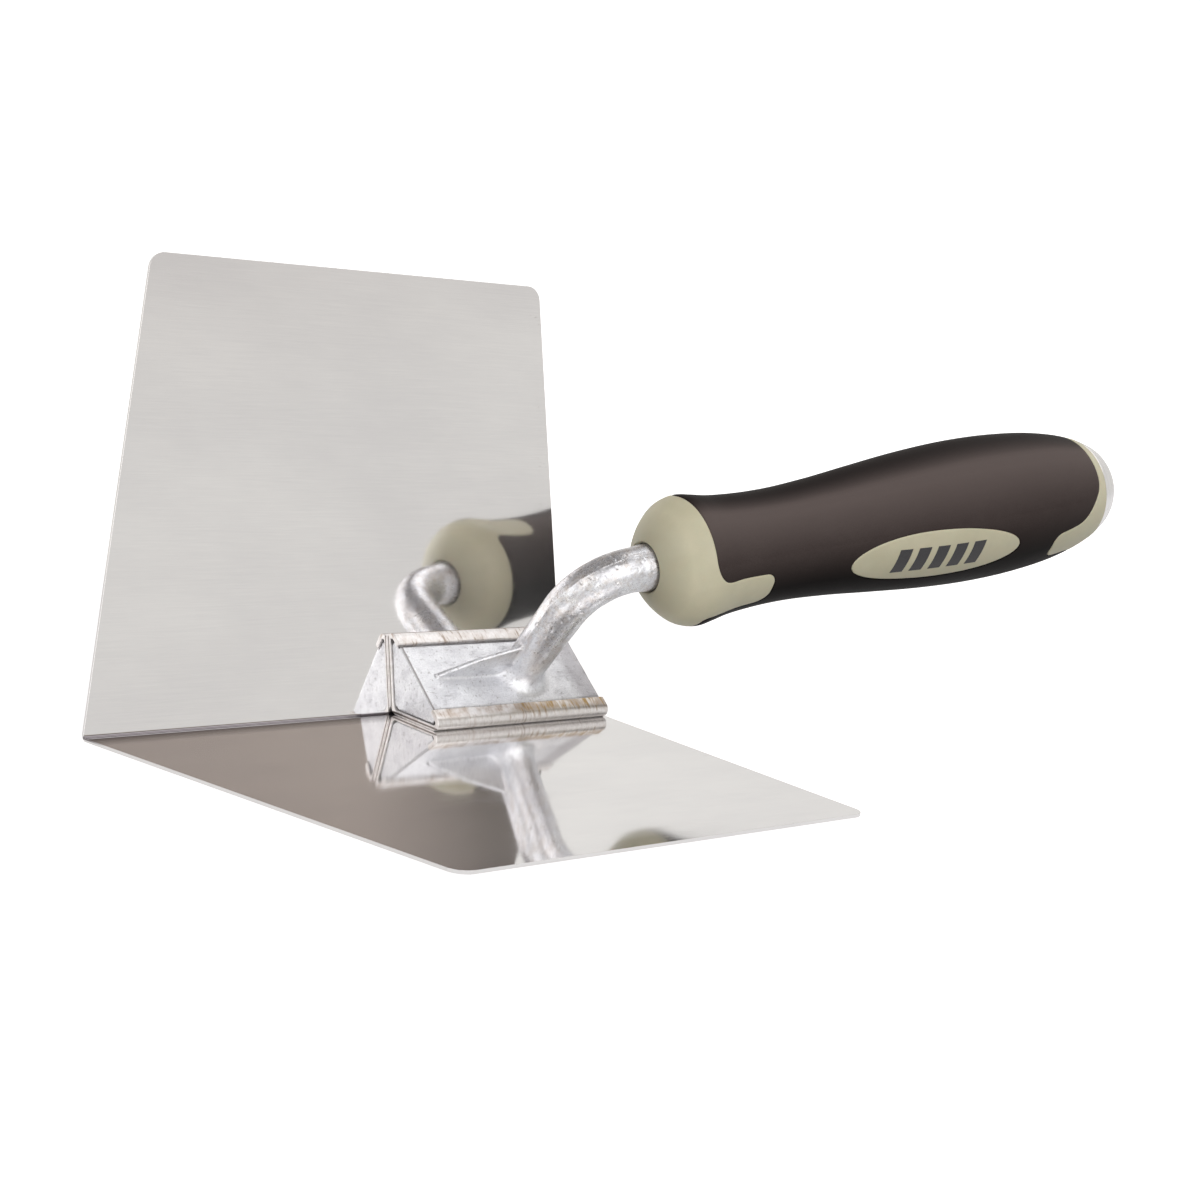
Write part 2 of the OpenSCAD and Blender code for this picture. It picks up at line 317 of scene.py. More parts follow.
class Nodes:
    """A material's node tree, with short calls for the nodes that the finishes share."""

    def __init__(self, name, place=None, **constants):
        self.material = bpy.data.materials.new(name)
        self.material.use_nodes = True
        self.tree = self.material.node_tree
        self.shader = self.tree.nodes["Principled BSDF"]
        for socket, value in constants.items():
            self.shader.inputs[socket.replace("_", " ")].default_value = value
        coordinates = self.tree.nodes.new("ShaderNodeTexCoord").outputs["Object"]
        self.position = self.placed(coordinates, place or Matrix.Identity(4))

    def node(self, kind, inputs, output=0, **settings):
        return add_node(self.tree, kind, inputs, output, **settings)

    def placed(self, coordinates, place):
        """Object coordinates, in metres, turned into millimetres in a local frame."""
        back = place.inverted()
        return self.node("ShaderNodeMapping", {
            "Vector": coordinates,
            "Location": back.to_translation(),
            "Rotation": back.to_euler(),
            "Scale": (1 / MM, 1 / MM, 1 / MM),
        })

    def stretched(self, scale, vector=None):
        return self.node("ShaderNodeMapping", {"Vector": vector or self.position, "Scale": scale})

    def noise(self, scale, detail=4.0, roughness=0.55, vector=None, distortion=0.0):
        return self.node("ShaderNodeTexNoise", {
            "Vector": vector or self.position,
            "Scale": scale,
            "Detail": detail,
            "Roughness": roughness,
            "Distortion": distortion,
        })

    def cells(self, scale, vector=None):
        return self.node("ShaderNodeTexVoronoi", {"Vector": vector or self.position, "Scale": scale})

    def part(self, axis):
        """One coordinate of the local frame, in millimetres."""
        return self.node("ShaderNodeSeparateXYZ", {"Vector": self.position}, "XYZ".index(axis))

    def math(self, operation, a, b=0.0):
        return combined(self.tree, operation, a, b)

    def product(self, first, *factors):
        total = first
        for factor in factors:
            total = self.math("MULTIPLY", total, factor)
        return total

    def weighted(self, a, b, weights):
        """a and b, each times its weight, added."""
        return self.math(
            "ADD", self.math("MULTIPLY", a, float(weights[0])), self.math("MULTIPLY", b, float(weights[1])))

    def length(self, a, b):
        """The length of a vector with the parts a and b."""
        square = self.math("ADD", self.math("MULTIPLY", a, a), self.math("MULTIPLY", b, b))
        return self.math("SQRT", square)

    def away(self, value, middle):
        """How far a value is from a middle value, on either side."""
        return self.math("ABSOLUTE", self.math("SUBTRACT", value, middle))

    def off_wing(self, y, z):
        """Distance into the fold from the inner face of the nearer wing, in the section frame."""
        return self.weighted(self.math("ABSOLUTE", y), z, INTO_FOLD)

    def from_fold(self, y, z):
        """Distance from the fold along the nearer wing, in the section frame."""
        return self.weighted(self.math("ABSOLUTE", y), z, ALONG_LEG)

    def between(self, value, start, end, low=0.0, high=1.0):
        return ranged(self.tree, value, start, end, low, high)

    def mix(self, factor, a, b):
        """A colour between two colours."""
        return mixed(self.tree, factor, a, b)

    def bump(self, height, distance, strength=1.0, under=None):
        """A bump whose full height is a distance in millimetres."""
        inputs = {"Height": height, "Distance": distance * MM, "Strength": strength}
        if under:
            inputs["Normal"] = under
        return self.node("ShaderNodeBump", inputs)

    def finish(self, **sockets):
        for socket, value in sockets.items():
            self.tree.links.new(value, self.shader.inputs[socket.replace("_", " ")])
        return self.material


def from_weld(n, from_fold):
    """Distance from the axis of the nearest spot weld, in the plane of the wing."""
    start = CHANNEL_X + CHANNEL_L / 2 - 1.5 * WELD_PITCH
    reach = 3.5 * WELD_PITCH
    past_start = n.between(n.part("X"), start, start + reach, 0, reach)
    along = n.math("SUBTRACT", n.math("MODULO", past_start, WELD_PITCH), WELD_PITCH / 2)
    return n.length(along, n.math("SUBTRACT", from_fold, WELD_S))


def blade_colour(n, lines, inner_face):
    """The sheet's tone: painted shade in the fold, scuffed at the heel and brownish on the front edges."""
    fold_shade_z = (4.2, 1.0)
    fold_shade_y = (0.42, 0.1)
    heel = (BLADE_L - 5, BLADE_L - 1)
    front_edge = (0.14, 0.04)
    y, z = n.part("Y"), n.part("Z")
    clouds = n.noise(0.035, 5.0, 0.6, n.stretched((0.5, 1, 1)))
    tone = n.weighted(lines, clouds, (0.35, 0.65))
    colour = n.mix(n.between(tone, 0.38, 0.62), (0.885, 0.87, 0.875), (0.97, 0.955, 0.95))
    # painted shade: the inner crease of the fold darkened nearly to black
    fold_shade = n.product(n.between(z, *fold_shade_z), n.between(y, *fold_shade_y), inner_face)
    colour = n.mix(n.product(fold_shade, 0.93), colour, (0.13, 0.11, 0.12))
    scuffs = n.between(n.noise(2.2, 3.0, 0.6, n.stretched((0.5, 1, 0.12))), 0.62, 0.68)
    scuffs = n.product(scuffs, n.between(n.noise(0.16, 2.0), 0.54, 0.6), n.between(n.part("X"), *heel))
    colour = n.mix(n.product(scuffs, 0.5), colour, (0.34, 0.25, 0.19))
    front = n.product(n.from_fold(y, z), FRONT_RAKE / WING_W)
    behind_front = n.math("SUBTRACT", n.part("X"), front)
    return n.mix(n.between(behind_front, *front_edge, 0, 0.45), colour, (0.46, 0.39, 0.35))


def blade_material():
    """Polished stainless sheet: faint brush lines and haze, and a mark over each weld on its outside."""
    tint_r = WELD_D * 0.8
    pressed_r = WELD_D / 2
    flat_r = WELD_D * 0.38
    pressed_by = 0.04
    n = Nodes("blade_stainless", AT_FOLD, Metallic=0.95, IOR=1.6)
    y, z = n.part("Y"), n.part("Z")
    inner_face = n.between(n.off_wing(y, z), -0.4, -0.2)
    outer_face = n.math("SUBTRACT", 1.0, inner_face)
    lines = n.noise(7.0, 3.0, 0.6, n.stretched((0.012, 1, 1)))
    colour = blade_colour(n, lines, inner_face)
    off_weld = from_weld(n, n.from_fold(y, z))
    tinted = n.product(n.between(off_weld, tint_r, pressed_r), outer_face)
    pressed = n.product(n.between(off_weld, pressed_r, flat_r), outer_face)
    colour = n.mix(n.product(tinted, 0.4), colour, (0.50, 0.40, 0.33))
    colour = n.mix(n.product(pressed, 0.4), colour, (0.52, 0.53, 0.58))
    smudges = n.noise(0.12, 6.0, 0.7, n.stretched((0.25, 1, 1)), 0.6)
    rough = n.math("ADD", n.between(smudges, 0.35, 0.75, 0.035, 0.09), n.between(lines, 0.4, 0.7, 0, 0.02))
    rough = n.math("ADD", rough, n.product(pressed, 0.12))
    waves = n.bump(n.noise(0.03, 1.0, 0.4), 0.05)
    dents = n.bump(n.product(pressed, -1.0), pressed_by, 1.0, waves)
    return n.finish(Base_Color=colour, Roughness=rough, Normal=n.bump(lines, 0.0004, 1.0, dents))


def lip_stains(n, steel, streaks, blotches):
    """Brown stains and marks on both lips, and a gold heat tint on the rear of the lower one."""
    roll_y = (13.0, 11.0)
    tint_x = (98.5, 104)
    tint_y = (-LIP_Y + 0.5, -LIP_Y)
    tint_roll_y = (-12.6, -11.2)
    ragged_by = 5
    x, y = n.part("X"), n.part("Y")
    on_lip = n.between(n.part("Z"), LIP_UNDER_Z + 0.3, LIP_TOP_Z - 0.2)
    on_top = n.between(n.math("ABSOLUTE", y), *roll_y)
    stained = n.product(n.between(blotches, 0.4, 0.58), n.between(y, 9, -9, 0.3, 0.75), on_top, on_lip)
    steel = n.mix(stained, steel, (0.46, 0.37, 0.30))
    marked = n.product(n.between(streaks, 0.53, 0.62), n.between(blotches, 0.42, 0.56))
    steel = n.mix(n.product(marked, n.between(on_lip, 0, 1, 0.3, 0.75)), steel, (0.36, 0.26, 0.19))
    ragged = n.math("ADD", x, n.between(n.noise(0.6, 4.0), 0.2, 0.8, -ragged_by, ragged_by))
    tint = n.product(
        on_lip, n.between(y, *tint_y), n.between(ragged, *tint_x),
        n.between(y, *tint_roll_y, 0.15, 1), n.between(streaks, 0.46, 0.60, 0.1, 1))
    return n.mix(tint, steel, (0.46, 0.31, 0.13)), marked


def channel_lines(n, steel, blotches):
    """A brown crease along the upper hem, a dark band in the middle of the front edge, a faint cross seam.
    """
    crease_z = [HEM_C[1] + above for above in (0.8, 1.0, 1.3, 1.6)]
    crease_y = (11, 12)
    dark_mid_half = (0.24, 0.14)
    seam_half = (0.35, 0.1)
    seam_y = (-8, -10)
    x, y, z = n.part("X"), n.part("Y"), n.part("Z")
    in_crease = n.product(n.between(z, *crease_z[:2]), n.between(z, *crease_z[:1:-1]))
    crease = n.product(in_crease, n.between(y, *crease_y), n.between(blotches, 0.4, 0.6, 0.4, 0.9))
    steel = n.mix(crease, steel, (0.30, 0.20, 0.13))
    on_front = n.between(x, CHANNEL_X + 0.2, CHANNEL_X + 0.1)
    off_middle = n.away(n.off_wing(y, z), CHANNEL_T / 2)
    # the middle of the sheet's front end face darkened, leaving its two rounded edges bright
    dark_mid_edge = n.product(n.between(off_middle, *dark_mid_half), on_front, 0.85)
    steel = n.mix(dark_mid_edge, steel, (0.12, 0.09, 0.08))
    off_seam = n.away(x, CHANNEL_X + CHANNEL_L / 2)
    seam = n.product(n.between(off_seam, *seam_half), n.between(y, *seam_y), 0.4)
    return n.mix(seam, steel, (0.30, 0.22, 0.17))


def channel_material():
    """Folded steel, satin, stained on its lips and marked along its edges."""
    n = Nodes("channel_steel", AT_FOLD, Metallic=0.8)
    streaks = n.noise(0.8, 5.0, 0.65, n.stretched((1.6, 0.22, 0.22)), 0.4)
    fine = n.noise(3.0, 5.0, 0.6, n.stretched((0.5, 0.3, 0.3)))
    blotches = n.noise(0.22, 4.0, 0.6)
    steel = n.mix(n.between(fine, 0.3, 0.7), (0.72, 0.695, 0.68), (0.91, 0.89, 0.88))
    steel, marked = lip_stains(n, steel, streaks, blotches)
    steel = channel_lines(n, steel, blotches)
    rough = n.between(n.math("ADD", fine, marked), 0.3, 1.4, 0.32, 0.52)
    normal = n.bump(streaks, 0.006, 0.6, n.bump(fine, 0.003))
    return n.finish(Base_Color=steel, Roughness=rough, Normal=normal)


def casting_colour(n, grain, patches, on_shank):
    """Patchy grey, with drawn streaks and warm spots on the shank, and painted shade at its collar."""
    collar_shade_x = (118.2, 121.2)
    drawn = n.noise(1.4, 5.0, 0.65, n.stretched((1, 1, 0.14)))
    metal = n.mix(n.between(grain, 0.3, 0.7), (0.66, 0.67, 0.70), (0.95, 0.96, 0.98))
    metal = n.mix(n.between(patches, 0.4, 0.7, 0, 0.4), metal, (0.60, 0.60, 0.65))
    drawn = n.product(n.between(drawn, 0.47, 0.67, 0, 0.6), n.between(on_shank, 0, 1, 0.15, 1))
    metal = n.mix(drawn, metal, (0.48, 0.475, 0.51))
    warm = n.product(n.between(n.noise(0.5, 6.0, 0.7), 0.46, 0.6, 0, 0.5), on_shank)
    metal = n.mix(warm, metal, (0.57, 0.51, 0.46))
    # painted shade: darker where the shank meets the handle's collar
    return n.mix(n.between(n.part("X"), *collar_shade_x, 0, 0.55), metal, (0.34, 0.32, 0.34))


def casting_material():
    """Cast aluminium: fine grain, dark pits, specks and scratches, and a shank that is a little smoother."""
    shank_z = (16, 26)
    edge_shade_half = (0.3, 0.12)
    n = Nodes("cast_aluminium", AT_FOLD, Metallic=0.74, IOR=1.5)
    grain = n.noise(2.6, 8.0, 0.7)
    patches = n.noise(0.22, 4.0, 0.6)
    on_shank = n.between(n.part("Z"), *shank_z)
    specks = n.between(n.noise(1.2, 4.0, 0.6), 0.60, 0.67)
    pits = n.product(n.between(n.cells(1.1), 0.16, 0.05), n.between(n.noise(0.8), 0.52, 0.62))
    scratch = n.noise(1.2, 2.0, 0.5, n.stretched((0.08, 1.8, 0.4)), 0.2)
    scratch = n.product(n.between(n.away(scratch, 0.5), 0.012, 0.0), n.between(patches, 0.5, 0.62))
    dark = n.math("MAXIMUM", n.product(specks, 0.45), n.product(pits, 0.8))
    dark = n.math("MAXIMUM", dark, n.product(scratch, 0.45))
    metal = n.mix(dark, casting_colour(n, grain, patches, on_shank), (0.26, 0.24, 0.24))
    # painted shade: a dark line just behind the wedge's front edge, beside its highlight
    off_edge_shade = n.away(n.part("X"), CHANNEL_X + WEDGE_GAP + 0.5)
    metal = n.mix(n.between(off_edge_shade, *edge_shade_half, 0, 0.75), metal, (0.20, 0.17, 0.16))
    rough = n.between(n.weighted(grain, patches, (1.0, 0.6)), 0.45, 1.15, 0.24, 0.5)
    rough = n.math("SUBTRACT", rough, n.product(on_shank, 0.07))
    relief = n.between(on_shank, 0, 1, 1.0, 0.3)
    height = n.math("SUBTRACT", grain, n.product(n.math("ADD", pits, scratch), 0.9))
    skin = n.bump(n.product(n.noise(1.0, 5.0, 0.65), relief), 0.09)
    normal = n.bump(n.product(height, relief), 0.045, 1.0, skin)
    return n.finish(Base_Color=metal, Roughness=rough, Normal=normal)


def plastic_material():
    """Beige moulded plastic with a fine eggshell grain, slight clouding and painted shade round the shank.
    """
    shank_shade_u = (4.0, 9.0)
    n = Nodes("core_plastic", AT_HANDLE, IOR=1.48, Subsurface_Weight=0.08, Subsurface_Scale=0.001)
    grain = n.noise(5.0, 3.0, 0.6)
    clouds = n.noise(0.09, 4.0, 0.6)
    colour = n.mix(n.between(clouds, 0.35, 0.65), (0.575, 0.545, 0.39), (0.63, 0.60, 0.44))
    colour = n.mix(n.between(grain, 0.35, 0.6, 0.06, 0), colour, (0.30, 0.28, 0.19))
    # painted shade: darker at the mouth where the shank enters the collar
    colour = n.mix(n.between(n.part("X"), *shank_shade_u, 0.6, 0), colour, (0.27, 0.255, 0.18))
    rough = n.between(n.math("ADD", grain, clouds), 0.7, 1.3, 0.36, 0.5)
    return n.finish(Base_Color=colour, Roughness=rough, Normal=n.bump(grain, 0.012))


def facing_up(n):
    """How far the handle's skin faces the row's +Z: 1 on top of it, -1 underneath."""
    y, z = n.part("Y"), n.part("Z")
    height = n.weighted(y, z, ALONG_LEG[::-1])
    return n.math("DIVIDE", height, n.length(y, z))


def rubber_material():
    """Dark brown soft grip, fine pebble; painted highlight on its upper flanks, painted shade on top and
    under it.
    """
    under = (0.05, -0.55)
    flank = (0.1, 0.7)
    flank_end = (0.97, 0.8)
    top = (0.84, 0.99)
    n = Nodes("soft_grip", AT_HANDLE, IOR=1.4, Specular_IOR_Level=0.05)
    pebble = n.noise(4.2, 4.0, 0.6)
    handled = n.noise(0.07, 5.0, 0.65, n.stretched((0.5, 1, 1)))
    colour = n.mix(n.between(handled, 0.35, 0.7), (0.055, 0.042, 0.040), (0.070, 0.055, 0.052))
    colour = n.mix(n.between(pebble, 0.35, 0.55, 0.35, 0), colour, (0.030, 0.023, 0.021))
    upward = facing_up(n)
    # painted highlight: the upper flanks paler, as if lit from above in the standing pose
    pale = n.product(n.between(upward, *flank, 0, 0.8), n.between(upward, *flank_end))
    colour = n.mix(pale, colour, (0.128, 0.103, 0.097))
    # painted shade: near black underneath and along the very top, as if unlit there
    deep = n.math("MAXIMUM", n.between(upward, *under, 0, 0.97), n.between(upward, *top, 0, 0.75))
    colour = n.mix(deep, colour, (0.005, 0.004, 0.004))
    rough = n.between(n.math("ADD", pebble, handled), 0.7, 1.3, 0.44, 0.58)
    return n.finish(Base_Color=colour, Roughness=rough, Normal=n.bump(pebble, 0.02))


def cap_material():
    """Bright polished cap with turning lines round its axis."""
    n = Nodes("cap_metal", AT_HANDLE, Metallic=1.0)
    lines = n.noise(6.0, 2.0, 0.5, n.stretched((1, 0.02, 0.02)))
    spots = n.noise(0.6, 5.0, 0.65)
    colour = n.mix(n.between(lines, 0.35, 0.65), (0.86, 0.85, 0.85), (0.96, 0.95, 0.95))
    colour = n.mix(n.between(spots, 0.6, 0.75, 0, 0.25), colour, (0.60, 0.58, 0.58))
    rough = n.between(spots, 0.3, 0.7, 0.12, 0.26)
    return n.finish(Base_Color=colour, Roughness=rough, Normal=n.bump(lines, 0.004))


def weld_material():
    """Dull, heat-blued weld metal."""
    n = Nodes("weld_steel", AT_FOLD, Metallic=1.0)
    ripple = n.noise(1.6, 4.0, 0.6)
    colour = n.mix(n.between(ripple, 0.35, 0.65), (0.30, 0.28, 0.30), (0.52, 0.49, 0.47))
    rough = n.between(ripple, 0.3, 0.7, 0.4, 0.6)
    return n.finish(Base_Color=colour, Roughness=rough, Normal=n.bump(ripple, 0.05))


def mark_material():
    """Dark grey printing ink."""
    n = Nodes("mark_ink", AT_HANDLE, IOR=1.5)
    grain = n.noise(3.0, 4.0, 0.6)
    colour = n.mix(n.between(grain, 0.35, 0.65), (0.024, 0.023, 0.026), (0.040, 0.038, 0.042))
    rough = n.between(grain, 0.3, 0.7, 0.38, 0.5)
    return n.finish(Base_Color=colour, Roughness=rough, Normal=n.bump(grain, 0.008))


# ---------------------------------------------------------------- blade

def blade_rows():
    """Places across the sheet's outer face, as (distance from the fold, y, z)."""
    outside_r = FOLD_R + BLADE_T
    bend_s = outside_r / math.tan(HALF_FOLD)
    turn = math.pi - 2 * HALF_FOLD
    corner_steps = 10
    bend_steps = 20
    flat_steps = 14
    corner_angles = np.linspace(0, math.pi / 2, corner_steps + 1)
    near_edge = WING_W - CORNER_R * (1 - np.sin(corner_angles))
    wing = np.concatenate([np.linspace(bend_s, near_edge[0], flat_steps, endpoint=False), near_edge])
    lower = [(s, -s, 0.0) for s in wing[::-1]]
    bend = [
        (bend_s, -bend_s + outside_r * math.sin(a), outside_r * (1 - math.cos(a)))
        for a in np.linspace(0, turn, bend_steps + 1)[1:-1]
    ]
    upper = [(s, -s * math.cos(2 * HALF_FOLD), s * math.sin(2 * HALF_FOLD)) for s in wing]
    return lower + bend + upper


def blade_ends(s):
    """Where the front and rear edges are at a distance from the fold, corners rounded."""
    into_corner = max(0.0, s - (WING_W - CORNER_R))
    cut = CORNER_R - math.sqrt(max(0.0, CORNER_R**2 - into_corner**2))
    return FRONT_RAKE * s / WING_W + cut, BLADE_L - HEEL_RAKE * s / WING_W - cut


def blade_sheet():
    """The outer face of the folded sheet as one grid, made solid towards the inside."""
    columns = 48
    rows = blade_rows()
    points = [
        (x - BLADE_L / 2, y + WING_W / 2, z)
        for s, y, z in rows
        for x in np.linspace(*blade_ends(s), columns)
    ]
    i, j = np.meshgrid(np.arange(len(rows) - 1), np.arange(columns - 1), indexing="ij")
    a = i * columns + j
    faces = np.stack([a, a + columns, a + columns + 1, a + 1], axis=-1).reshape(-1, 4)
    obj = piece("blade_sheet", points, faces, Matrix.Identity(4), blade_material())
    solid = obj.modifiers.new("thickness", "SOLIDIFY")
    solid.thickness = BLADE_T * MM
    solid.offset = -1
    bevel(obj, BLADE_EDGE_R, 2, 50)
    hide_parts("blade")
    return obj


# ---------------------------------------------------------------- mounting channel

def channel_section():
    """The channel's closed section: out along one side, over its lip, back inside, and mirrored."""
    outside_r = CHANNEL_BEND_R + CHANNEL_T
    bend_c = (0, outside_r / math.sin(HALF_FOLD))
    half = math.degrees(HALF_FOLD)
    lip_r = 0.25
    right = np.vstack([
        arc(bend_c, outside_r, -90, -half, 8),
        arc(HEM_C, HEM_R + CHANNEL_T, -half, 90, 22),
        arc((LIP_Y + lip_r, LIP_TOP_Z - lip_r), lip_r, 90, 180, 3),
        arc((LIP_Y + lip_r, LIP_UNDER_Z + lip_r), lip_r, 180, 270, 3),
        arc(HEM_C, HEM_R, 90, -half, 16),
        arc(bend_c, CHANNEL_BEND_R, -half, -90, 8),
    ])
    left = (right * (-1, 1))[::-1]
    return np.vstack([right, left[1:-1]])


def channel_sheet():
    """The channel as one extruded section, its lips slightly uneven and its ends softened."""
    section = channel_section()
    steps = 60
    unevenness = 0.07
    on_lip = np.clip((section[:, 1] - LIP_UNDER_Z + 1) / 2, 0, 1)
    on_lip *= np.clip((HEM_C[0] - np.abs(section[:, 0])) / 2, 0, 1)
    rings = []
    for x in np.linspace(CHANNEL_X, CHANNEL_X + CHANNEL_L, steps + 1):
        drift = [noise.noise((x * 0.16, math.copysign(9, y), 3)) for y in section[:, 0]]
        inward = np.sign(section[:, 0]) * on_lip * np.array(drift) * unevenness * 3
        rings.append(np.column_stack([
            np.full(len(section), x),
            section[:, 0] + inward,
            section[:, 1] + on_lip * np.array(drift) * unevenness,
        ]))
    count = len(section)
    faces = ring_faces(len(rings), count).tolist()
    faces.append(list(range(count))[::-1])
    faces.append(list(range(steps * count, (steps + 1) * count)))
    obj = piece("channel_sheet", np.vstack(rings), faces, AT_FOLD, channel_material())
    bevel(obj, CHANNEL_EDGE_R, 2, 50)
    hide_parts("mounting_channel")
    return obj


# ---------------------------------------------------------------- shank casting

def fillet_union(a, b, radius):
    """Two distances joined with a round fillet between them."""
    corner = np.hypot(np.maximum(radius - a, 0), np.maximum(radius - b, 0))
    return np.maximum(radius, np.minimum(a, b)) - corner


def rounded_overlap(a, b, radius):
    """What two distances share, its edge rounded."""
    corner = np.hypot(np.maximum(a + radius, 0), np.maximum(b + radius, 0))
    return np.minimum(np.maximum(a, b) + radius, 0) + corner - radius


def wedge_outline():
    apex_c = (0, (WEDGE_APEX_R + CHANNEL_T) / math.sin(HALF_FOLD))
    edge = ALONG_LEG * (HEM_S - WEDGE_EDGE_SHORT) + INTO_FOLD * CHANNEL_T
    right = np.vstack([
        arc(apex_c, WEDGE_APEX_R, -90, -math.degrees(HALF_FOLD), 6),
        [edge],
        [(HEM_C[0] - HEM_CLEAR, LIP_UNDER_Z)],
        [(LIP_Y - LIP_CLEAR, LIP_UNDER_Z)],
        [(LIP_Y - LIP_CLEAR, CAST_TOP_Z)],
    ])
    return np.vstack([right, (right * (-1, 1))[:0:-1]])


def gusset_outline():
    foot_z = CAST_TOP_Z - 1
    top = [(SHANK_X - ahead, CAST_TOP_Z + height) for ahead, height in GUSSET_TOP]
    return np.array([(SHANK_X, foot_z), (top[0][0], foot_z), *top, (SHANK_X, top[-1][1])])


def shank_distance(x, y, z):
    """Distance to the skin of the shank: upright, bend and the straight end in the handle."""
    along = np.clip((z - CAST_TOP_Z) / (BEND_Z - CAST_TOP_Z), 0, 1)
    upright = np.hypot(np.hypot(x - SHANK_X, y), np.maximum(z - BEND_Z, 0))
    upright = np.maximum(upright - SHANK_R - (BEND_SHANK_R - SHANK_R) * along, LIP_UNDER_Z - z)
    centre_x = SHANK_X + BEND_R
    angle = np.clip(np.arctan2(z - BEND_Z, centre_x - x), 0, math.pi / 2 - TILT)
    on_x = centre_x - BEND_R * np.cos(angle)
    on_z = BEND_Z + BEND_R * np.sin(angle)
    bend = np.hypot(np.hypot(x - on_x, z - on_z), y) - BEND_SHANK_R
    from_x, from_z = x - HANDLE_AT[0], z - HANDLE_AT[2]
    u = from_x * math.cos(TILT) + from_z * math.sin(TILT)
    w = from_z * math.cos(TILT) - from_x * math.sin(TILT)
    share = np.clip(u / COLLAR_U, 0, 1)
    end = np.hypot(np.hypot(np.minimum(u, 0), w), y)
    end = end - BEND_SHANK_R - (COLLAR_R - BEND_SHANK_R) * share
    return np.maximum(np.minimum(np.minimum(upright, bend), end), u - SHANK_END_U)


def casting_distance(x, y, z):
    """Distance to the casting's skin, in the section frame."""
    edge_r = 0.3
    middle = CHANNEL_X + CHANNEL_L / 2
    wedge_ends = np.abs(x - middle) - (CHANNEL_L / 2 - WEDGE_GAP)
    wedge = outline_distance(y, z, wedge_outline()) + WEDGE_GAP_SIDE
    wedge = rounded_overlap(wedge, wedge_ends, edge_r)
    side = outline_distance(x, z, gusset_outline())
    draft = 0.5 + 0.07 * np.clip(-side, 0, 6)
    gusset = rounded_overlap(side, np.abs(y) - draft, 0.15)
    body = fillet_union(wedge, shank_distance(x, y, z), FOOT_FILLET_R)
    body = fillet_union(body, gusset, 0.7)
    flash = np.maximum(np.maximum(np.abs(y) - 0.13, body - 0.09), CAST_TOP_Z + 1.5 - z)
    return fillet_union(body, flash, 0.12)


def net(distance, origin, step):
    """A quad mesh along the zero level of a grid of distances."""
    inside = distance < 0
    spans = [(slice(None, -1), slice(1, None))[bit] for bit in (0, 1)]
    corners = [(a, b, c) for a in (0, 1) for b in (0, 1) for c in (0, 1)]
    total = sum(inside[spans[a], spans[b], spans[c]].astype(np.uint8) for a, b, c in corners)
    active = (total > 0) & (total < 8)
    cells = np.argwhere(active)
    index = np.full(active.shape, -1)
    index[active] = np.arange(len(cells))
    sums = np.zeros((len(cells), 3))
    hits = np.zeros(len(cells))
    faces = []
    for axis in range(3):
        ahead = np.eye(3, dtype=int)[axis]
        for corner in corners:
            if corner[axis]:
                continue
            p = cells + corner
            q = p + ahead
            at_p, at_q = distance[tuple(p.T)], distance[tuple(q.T)]
            crosses = (at_p < 0) != (at_q < 0)
            t = at_p[crosses] / (at_p[crosses] - at_q[crosses])
            sums[crosses] += p[crosses] + t[:, None] * ahead
            hits[crosses] += 1
        b = np.eye(3, dtype=int)[(axis + 1) % 3]
        c = np.eye(3, dtype=int)[(axis + 2) % 3]
        changes = np.diff(inside.astype(np.int8), axis=axis)
        edges = np.argwhere(changes != 0)
        keep = (edges[:, (axis + 1) % 3] > 0) & (edges[:, (axis + 2) % 3] > 0)
        edges = edges[keep]
        leaving = changes[tuple(edges.T)] < 0
        quads = np.stack([index[tuple((edges - o).T)] for o in (b + c, c, 0 * b, b)], axis=-1)
        quads[~leaving] = quads[~leaving][:, ::-1]
        faces.append(quads)
    return origin + step * sums / hits[:, None], np.vstack(faces)


def gradient(points, reach=0.03):
    """Direction in which the casting's distance grows, at each point."""
    slopes = []
    for axis in range(3):
        shift = np.eye(3)[axis] * reach
        slopes.append(casting_distance(*(points + shift).T) - casting_distance(*(points - shift).T))
    slopes = np.stack(slopes, axis=-1) / (2 * reach)
    return slopes / np.maximum(np.linalg.norm(slopes, axis=1), 0.2)[:, None]


def cast_texture(point):
    """Height of the as-cast surface over its true shape, in millimetres."""
    p = Vector(point)
    swell = noise.noise(p * 0.3) * 0.045
    grain = noise.fractal(p * 1.1, 0.9, 2.0, 3) * 0.018
    pit = max(0.0, noise.noise(p * 1.5 + Vector((7, 3, 1))) - 0.42) * -0.5
    return swell + grain + pit


def shank_cast():
    step = 0.27
    low = np.array([CHANNEL_X - 1, -16.5, 1.5])
    high = np.array([HANDLE_AT[0] + 14, 16.5, 56.5])
    x, y, z = (np.arange(a, b, step) for a, b in zip(low, high))
    distance = casting_distance(x[:, None, None], y[None, :, None], z[None, None, :])
    points, faces = net(distance, low, step)
    for _ in range(2):
        points -= gradient(points) * casting_distance(*points.T)[:, None]
    outward = gradient(points)
    points += outward * np.array([cast_texture(p) for p in points])[:, None]
    obj = piece("shank_cast", points, faces, AT_FOLD, casting_material())
    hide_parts("shank_casting")
    return obj


# ---------------------------------------------------------------- handle

JOINT_GROOVE = 0.22
CORE_STEP_FROM = 0.3
CORE_STEP_TO = 0.6
EDGE_ROUND = 0.4
JOINT_LEVELS = [
    -JOINT_GROOVE, -JOINT_GROOVE / 2, 0, EDGE_ROUND / 5, EDGE_ROUND / 2, EDGE_ROUND, CORE_STEP_TO,
]
SHANK_HOLE_R = 5.68

OUTLINE = smooth_curve(HANDLE_STATIONS, 20)
GRIP_OUTLINE = rounded(GRIP_SIDE)


